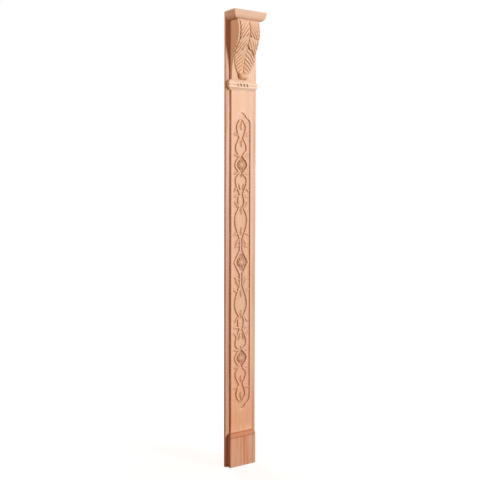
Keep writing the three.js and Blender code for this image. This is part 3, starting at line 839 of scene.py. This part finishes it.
def gouge_tree():
    """Cuts a row of leaning hollows out of the collar's front and marks their insides with painted shade.
    """
    tree, given = geometry_tree(
        "gouged_collar",
        Count="Int", First="Vector", Pitch="Vector", HalfSize="Vector", Lean="Vector", Tone="Float",
        Material="Material",
    )
    line = add_node(tree, "GeometryNodeMeshLine", {
        "Count": given["Count"],
        "Start Location": given["First"],
        "Offset": given["Pitch"],
    })
    ball = add_node(tree, "GeometryNodeMeshUVSphere", {"Radius": 1.0, **GOUGE_FACETS})
    # Painted shade on every face the cuts leave behind
    tool = add_node(tree, "GeometryNodeStoreNamedAttribute", {
        "Geometry": ball.outputs[0],
        "Name": "carve",
        "Value": given["Tone"],
    }, data_type="FLOAT", domain="POINT")
    lean = add_node(tree, "FunctionNodeEulerToRotation", {"Euler": given["Lean"]})
    cuts = add_node(tree, "GeometryNodeInstanceOnPoints", {
        "Points": line.outputs[0],
        "Instance": tool.outputs[0],
        "Rotation": lean.outputs[0],
        "Scale": given["HalfSize"],
    })
    real = add_node(tree, "GeometryNodeRealizeInstances", {"Geometry": cuts.outputs[0]})
    cut = add_node(tree, "GeometryNodeMeshBoolean", {
        "Mesh 1": given["Geometry"],
        "Mesh 2": real.outputs[0],
    }, operation="DIFFERENCE", solver="EXACT")
    end_tree(tree, cut.outputs[0], given["Material"])
    return tree


collar_wood = beech_material("collar_wood", COLLAR_PALE, COLLAR_DEEP, COLLAR_LOG_PLACE, GRAIN_ACROSS)
collar = show("collar_look", collar_mesh(), collar_wood)
collar_middle = (COLLAR_LOW.z + COLLAR_HIGH.z) / 2
run_tree(
    collar, gouge_tree(), Count=GOUGE_COUNT,
    First=(GOUGE_FIRST, COLLAR_LOW.y, collar_middle),
    Pitch=(GOUGE_PITCH, 0, 0), HalfSize=GOUGE_HALF_SIZE, Lean=(0, GOUGE_LEAN, 0), Tone=GOUGE_PAINTED_SHADE,
    Material=collar_wood,
)
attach(collar, "root")
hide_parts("collar")


# Corbel: an S-shaped bracket of two beech thicknesses glued together, sawn to shape and planted
# above the collar. An acanthus leaf in three tiers is carved down its front; its sides are plain.

CORBEL_LOW, CORBEL_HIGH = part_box("corbel")
CORBEL_HEIGHT = CORBEL_HIGH.z - CORBEL_LOW.z
CORBEL_CURVE_STEPS = 40
CORBEL_FRONT = (
    (0, 0.017), (0.052, 0.0175), (0.092, 0.0255), (0.131, 0.0385), (0.161, 0.0505),
    (0.191, 0.067), (0.221, 0.077), (0.246, 0.080), (0.276, 0.074), (0.301, 0.069),
)
CORBEL_ARRIS = 0.0012
CORBEL_BACK_THICK = 0.055
CORBEL_GLUE_LINE = BOARD_FACE - CORBEL_BACK_THICK
CORBEL_PALE = (0.822, 0.582, 0.430, 1)
CORBEL_DEEP = (0.652, 0.420, 0.284, 1)
CORBEL_LOG_PLACE = (0.9, 0.5, 0.15)
CORBEL_FRONT_LOG_PLACE = (0.42, 0.77, 0.55)
CORBEL_ROW_STEP = 0.0008
CORBEL_COLUMNS = 96
CORBEL_ROUND = 0.0035
CORBEL_ROUND_FROM = (0.150, 0.050)
CORBEL_ROUND_STEPS = 8
LEAF_OUTLINE = (
    (0.003, 0.0180), (0.008, 0.0240), (0.016, 0.0280), (0.030, 0.0295), (0.040, 0.0370),
    (0.050, 0.0430), (0.070, 0.0510), (0.090, 0.0585), (0.104, 0.0625), (0.110, 0.0610),
    (0.120, 0.0655), (0.145, 0.0645), (0.175, 0.0600), (0.194, 0.0570), (0.202, 0.0540),
    (0.212, 0.0575), (0.240, 0.0565), (0.270, 0.0545), (0.290, 0.0570), (0.301, 0.0620),
)
LEAF_WALL = 0.0022
LEAF_FOOT = 0.004
LEAF_HEAD = 0.0045
LEAF_EDGE_FALL = 0.30
LEAF_EDGE_POWER = 4
SET_IN_DEPTH = 0.0028
SET_IN_OFFSET = 0.0020
SET_IN_WIDTH = 0.0022
LOBE_NOTCH = 0.055
TIERS = (
    {"edge": 0.0, "droop": 0.0, "top": 0.165, "rise": 0.0080, "sink": 0.0050},
    {"edge": 0.164, "droop": 0.047, "top": 0.216, "rise": 0.0092, "sink": 0.0060},
    {"edge": 0.216, "droop": 0.023, "top": 0.300, "rise": 0.0088, "sink": 0.0050},
)
TIER_STEP = 0.0022
TIER_DROOP_POWER = 1.3
FINGER_PITCH = 0.0245
FINGER_SLOPE = 1.15
FINGER_CURVE = 6.0
FINGER_LENGTH = 0.0100
FINGER_DEPTH = 0.0064
FINGER_FADE = 0.9
FLUTE_PITCH = 0.0205
FLUTE_SLOPE = 0.30
FLUTE_CURVE = 9.0
FLUTE_DEPTH = 0.0056
FLUTE_FROM = 0.030
FLUTE_FADE = 0.018
RIB_SINK = 0.0064
RIB_HALF_WIDTH = 0.0030
CURL_AT = 0.019
CURL_HALF_HEIGHT = 0.015
CURL_HALF_WIDTH = 0.0290
CURL_RISE = 0.0135
CURL_SQUARENESS = 10
CORBEL_TONE_STEPS = 20
CORBEL_SHADE_AND_HIGHLIGHT = 0.75
VALLEY_ROUND = 0.03


def corbel_outs(ups):
    """How far the corbel's front stands ahead of the back board, on a smooth curve."""
    given = np.array(CORBEL_FRONT)
    padded = np.vstack([given[0], given, given[-1]])
    shares = np.linspace(0, 1, CORBEL_CURVE_STEPS, endpoint=False)[:, None]
    pieces = []
    for before, start, end, after in zip(padded, padded[1:], padded[2:], padded[3:]):
        pull = (end - before) / 2, (after - start) / 2
        pieces.append(
            (2 * shares ** 3 - 3 * shares ** 2 + 1) * start
            + (shares ** 3 - 2 * shares ** 2 + shares) * pull[0]
            + (3 * shares ** 2 - 2 * shares ** 3) * end
            + (shares ** 3 - shares ** 2) * pull[1]
        )
    curve = np.vstack([*pieces, given[-1:]])
    return np.interp(ups, curve[:, 0], curve[:, 1])


def ramp(values, width):
    """A smooth rise from 0 to 1 over a width."""
    share = np.clip(values / width, 0, 1)
    return share * share * (3 - 2 * share)


def swell(place, pitch):
    """Rounded ridges from 0 in the valleys to 1 on the crests, one to a pitch."""
    wave = np.sqrt(np.sin(math.pi * place / pitch) ** 2 + VALLEY_ROUND)
    lowest, highest = math.sqrt(VALLEY_ROUND), math.sqrt(1 + VALLEY_ROUND)
    return (wave - lowest) / (highest - lowest)


def acanthus(aside, up):
    """How far the leaf stands off the corbel's front, by place; it hangs in three tiers."""
    aside = np.abs(aside)
    flute = swell(up + FLUTE_SLOPE * aside + FLUTE_CURVE * aside ** 2, FLUTE_PITCH)
    finger = swell(up + FINGER_SLOPE * aside + FINGER_CURVE * aside ** 2, FINGER_PITCH)
    valley = (1 - flute) * ramp(up - FLUTE_FROM, FLUTE_FADE)
    outline = np.interp(up, *np.transpose(LEAF_OUTLINE)) * (1 - LOBE_NOTCH * valley)
    for place, tier in enumerate(TIERS):
        droop = tier["droop"] * (aside / SHAFT_HALF_WIDTH) ** TIER_DROOP_POWER
        above = up - tier["edge"] + droop
        share = np.clip(above / (tier["top"] - tier["edge"] + droop), 0, 1)
        body = tier["rise"] - tier["sink"] * share
        if place == 0:
            standing = body - FLUTE_DEPTH * valley
        else:
            hung = ramp(above + FINGER_LENGTH * (finger - 1) * (1 - share), TIER_STEP)
            slit = FINGER_DEPTH * (1 - finger) * (1 - share) ** FINGER_FADE
            standing = standing * (1 - hung) + (body - slit) * hung
    curl = np.exp(-((up - CURL_AT) / CURL_HALF_HEIGHT) ** 2)
    standing = standing - RIB_SINK * (1 - curl) * np.exp(-(aside / RIB_HALF_WIDTH) ** 2)
    plump = np.clip(1 - (aside / CURL_HALF_WIDTH) ** CURL_SQUARENESS, 0, 1)
    standing = standing + CURL_RISE * curl * plump
    ends = ramp(up - LEAF_FOOT, LEAF_WALL) * ramp(CORBEL_HEIGHT - LEAF_HEAD - up, LEAF_WALL)
    domed = 1 - LEAF_EDGE_FALL * np.clip(aside / outline, 0, 1) ** LEAF_EDGE_POWER
    set_in = SET_IN_DEPTH * np.exp(-((aside - outline - SET_IN_OFFSET) / SET_IN_WIDTH) ** 2)
    return (np.maximum(standing, 0) * domed * ramp(outline - aside, LEAF_WALL) - set_in) * ends


def corbel_mesh():
    """The bracket with the leaf in relief on its front."""
    edge_turns = np.linspace(0, math.pi / 2, CORBEL_ROUND_STEPS)[1:]
    rings = []
    for up in np.linspace(0, CORBEL_HEIGHT, round(CORBEL_HEIGHT / CORBEL_ROW_STEP)):
        start, length = CORBEL_ROUND_FROM
        radius = CORBEL_ARRIS + (CORBEL_ROUND - CORBEL_ARRIS) * float(ramp(up - start, length))
        flat = np.linspace(0, SHAFT_HALF_WIDTH - radius, CORBEL_COLUMNS)
        aside = np.concatenate([flat, flat[-1] + radius * np.sin(edge_turns), [SHAFT_HALF_WIDTH]])
        eased = radius * (np.cos(edge_turns) - 1)
        eased = np.concatenate([0 * flat, eased, [-radius - CORNER_SUPPORT * CORBEL_ARRIS]])
        front = BOARD_FACE - corbel_outs(up) - acanthus(aside, up) - eased
        right = np.column_stack([aside, front, np.full(len(aside), CORBEL_LOW.z + up)])
        left = right[:0:-1] * (-1, 1, 1)
        back = np.array([[SHAFT_HALF_WIDTH, SHAFT_FACE, CORBEL_LOW.z + up]])
        rings.append(np.vstack([back * (-1, 1, 1), left, right, back]))
    return loft("corbel", rings)


def painted_shading_tree():
    """Marks the hollows of a carved piece for painted shade and its ridges for painted highlight."""
    tree, given = geometry_tree("carving_painted_shading", ToneSteps="Int", Strength="Float", Material="Material")
    toned = add_painted_shading(tree, given["Geometry"], given["ToneSteps"], given["Strength"], 0.0)
    end_tree(tree, toned, given["Material"])
    return tree


def glue_line(material):
    """The front thickness comes from another place in the log than the one behind it."""
    tree = material.node_tree
    place = add_node(tree, "ShaderNodeTexCoord").outputs["Object"]
    ahead = add_node(tree, "ShaderNodeSeparateXYZ", {0: place}).outputs["Y"]
    in_front = calculate(tree, "LESS_THAN", ahead, CORBEL_GLUE_LINE)
    log_place = add_node(tree, "ShaderNodeMix", {
        0: in_front,
        4: CORBEL_LOG_PLACE,
        5: CORBEL_FRONT_LOG_PLACE,
    }, data_type="VECTOR").outputs[1]
    tree.links.new(log_place, tree.nodes["sawn"].inputs["Location"])


corbel_wood = beech_material("corbel_wood", CORBEL_PALE, CORBEL_DEEP, CORBEL_LOG_PLACE)
glue_line(corbel_wood)
corbel = show("corbel_look", corbel_mesh(), corbel_wood)
# Painted shade in the leaf's hollows and painted highlight on its ridges
run_tree(
    corbel, painted_shading_tree(), ToneSteps=CORBEL_TONE_STEPS, Strength=CORBEL_SHADE_AND_HIGHLIGHT, Material=corbel_wood,
)
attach(corbel, "root")
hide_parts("corbel")


# Cap: a moulded beech shelf, an ovolo under a square fillet, run round the front and two sides
# with a plane and set on the corbel against the back board. Its top is flat and bare.

CAP_LOW, CAP_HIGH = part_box("cap")
CAP_FILLET = 0.0125
CAP_SIDE_INSET = 0.026
CAP_FRONT_INSET = 0.017
CAP_QUIRK = 0.002
CAP_QUIRK_HEIGHT = 0.001
CAP_OVOLO_STEPS = 16
CAP_ARRIS = 0.0012
CAP_PALE = (0.712, 0.512, 0.384, 1)
CAP_DEEP = (0.580, 0.366, 0.242, 1)
CAP_LOG_PLACE = (0.25, 0.66, 0.35)

cap_levels = []
for angle in np.linspace(0, math.pi / 2, CAP_OVOLO_STEPS):
    share = 1 - math.sin(angle)
    ovolo = CAP_HIGH.z - CAP_FILLET - CAP_QUIRK_HEIGHT - CAP_LOW.z
    cap_levels.append((
        CAP_LOW.z + ovolo * (1 - math.cos(angle)),
        CAP_QUIRK + (CAP_SIDE_INSET - CAP_QUIRK) * share,
        CAP_QUIRK + (CAP_FRONT_INSET - CAP_QUIRK) * share,
    ))
for z, inset in (
    (CAP_HIGH.z - CAP_FILLET, CAP_ARRIS / 2),
    (CAP_HIGH.z - CAP_FILLET + CAP_ARRIS / 2, 0),
    (CAP_HIGH.z - CAP_ARRIS, 0),
    (CAP_HIGH.z - CAP_ARRIS / 3, CAP_ARRIS / 3),
    (CAP_HIGH.z, CAP_ARRIS),
):
    cap_levels.append((z, inset, inset))
cap_rings = [
    at_height(moulded_plan(CAP_HIGH.x - side, CAP_LOW.y + ahead, BOARD_FACE, CAP_ARRIS), z)
    for z, side, ahead in cap_levels
]
cap_wood = beech_material("cap_wood", CAP_PALE, CAP_DEEP, CAP_LOG_PLACE, GRAIN_ACROSS)
cap = show("cap_look", loft("cap", cap_rings), cap_wood)
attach(cap, "root")
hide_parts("cap")


# Studio: a plain pale floor under the pilaster, white all round, soft lights in front and on the
# right and weaker ones on the left and behind it, seen by a standing photographer's camera.

FLOOR_HALF_SIZE = 14.0
FLOOR_GLOW = 0.84
FLOOR_SHADE = (0.22, 0.22, 0.22, 1)
FLOOR_BOUNCE = (0.36, 0.24, 0.16, 1)
FLOOR_PAINTED_SHADE_FADE = (0.4, 2.2)
ROOM_GLOW = 0.28
ROOM_TINT = (1.0, 0.47, 0.22, 1)
WHITE = (1, 1, 1, 1)
MAIN_LIGHT = {
    "place": (3.72, -7.00, 1.50), "aim": (0, 0, 0.3), "size": 2.0, "power": 570, "tint": (0.95, 0.96, 0.94),
}
SIDE_LIGHT = {
    "place": (4.03, -1.63, 1.76), "aim": (0, 0, 0.3), "size": 1.4, "power": 62, "tint": (0.90, 0.97, 1.0),
}
BACK_LIGHT = {
    "place": (0.25, 4.20, 1.5), "aim": (0, 0, 0.2), "size": 2.6, "power": 150, "tint": (1.0, 0.95, 0.88),
}
LEFT_LIGHT = {
    "place": (-1.60, 0.05, 1.4), "aim": (0, 0, 1.0), "size": 0.8, "power": 10.0, "tint": (1.0, 0.78, 0.64),
}
CAMERA_PLACE = (-2.313, -3.396, 0.311)
CAMERA_DIP = math.radians(4.09)
CAMERA_AZIMUTH = math.radians(-34.32)
CAMERA_ROLL = math.radians(0.13)
CAMERA_LENS = 57.93
CAMERA_SENSOR = 36.0


def floor_material():
    """Pale floor, white to the camera but for soft shadows and painted shade round the pilaster's foot, and
    dimmer for the light it returns.
    """
    material = bpy.data.materials.new("pale_floor")
    material.use_nodes = True
    tree = material.node_tree
    tree.nodes.clear()
    seen = add_node(tree, "ShaderNodeLightPath").outputs["Is Camera Ray"]
    place = add_node(tree, "ShaderNodeTexCoord").outputs["Object"]
    flat = add_node(tree, "ShaderNodeVectorMath", {0: place, 1: (1, 1, 0)}, operation="MULTIPLY").outputs[0]
    away = add_node(tree, "ShaderNodeVectorMath", {0: flat}, operation="LENGTH").outputs["Value"]
    # Painted shade round the foot: the glow is dimmer near the pilaster and rises to full white further out
    strength = rescale(tree, away, *FLOOR_PAINTED_SHADE_FADE, FLOOR_GLOW, 1.0)
    glow = add_node(tree, "ShaderNodeEmission", {"Color": WHITE, "Strength": strength})
    shade = add_node(tree, "ShaderNodeBsdfDiffuse", {"Color": FLOOR_SHADE})
    bounce = add_node(tree, "ShaderNodeBsdfDiffuse", {"Color": FLOOR_BOUNCE})
    shown = add_node(tree, "ShaderNodeAddShader", {0: glow.outputs[0], 1: shade.outputs[0]})
    mixed = add_node(tree, "ShaderNodeMixShader", {0: seen, 1: bounce.outputs[0], 2: shown.outputs[0]})
    add_node(tree, "ShaderNodeOutputMaterial", {"Surface": mixed.outputs[0]})
    return material


def white_room():
    """White where the camera looks past the object, and dim for the light it gives."""
    world = bpy.data.worlds.new("white_room")
    world.use_nodes = True
    tree = world.node_tree
    tree.nodes.clear()
    seen = add_node(tree, "ShaderNodeLightPath").outputs["Is Camera Ray"]
    strength = rescale(tree, seen, 0.0, 1.0, ROOM_GLOW, 1.0)
    tint = blend_colours(tree, seen, ROOM_TINT, WHITE)
    background = add_node(tree, "ShaderNodeBackground", {"Color": tint, "Strength": strength})
    add_node(tree, "ShaderNodeOutputWorld", {"Surface": background.outputs[0]})
    return world


def soft_light(name, place, aim, size, power, tint):
    """A square softbox turned to a point."""
    data = bpy.data.lights.new(name, "AREA")
    data.size = size
    data.energy = power
    data.color = tint
    light = bpy.data.objects.new(name, data)
    light.location = place
    light.rotation_euler = (Vector(aim) - Vector(place)).to_track_quat("-Z", "Y").to_euler()
    bpy.context.scene.collection.objects.link(light)


reach = FLOOR_HALF_SIZE
floor_mesh = bpy.data.meshes.new("floor")
floor_mesh.from_pydata(
    [(-reach, -reach, FOOT), (reach, -reach, FOOT), (reach, reach, FOOT), (-reach, reach, FOOT)],
    [], [(0, 1, 2, 3)],
)
floor = show("floor", floor_mesh, floor_material())
bpy.context.scene.world = white_room()
soft_light("main_light", **MAIN_LIGHT)
soft_light("side_light", **SIDE_LIGHT)
soft_light("back_light", **BACK_LIGHT)
soft_light("left_light", **LEFT_LIGHT)
bpy.context.scene.view_settings.view_transform = "Standard"

camera_data = bpy.data.cameras.new("camera")
camera_data.lens = CAMERA_LENS
camera_data.sensor_width = CAMERA_SENSOR
camera = bpy.data.objects.new("camera", camera_data)
camera.location = CAMERA_PLACE
looking = Euler((math.pi / 2 - CAMERA_DIP, 0, CAMERA_AZIMUTH)).to_matrix()
camera.rotation_euler = (looking @ Matrix.Rotation(CAMERA_ROLL, 3, "Z")).to_euler()
bpy.context.scene.collection.objects.link(camera)
bpy.context.scene.camera = camera
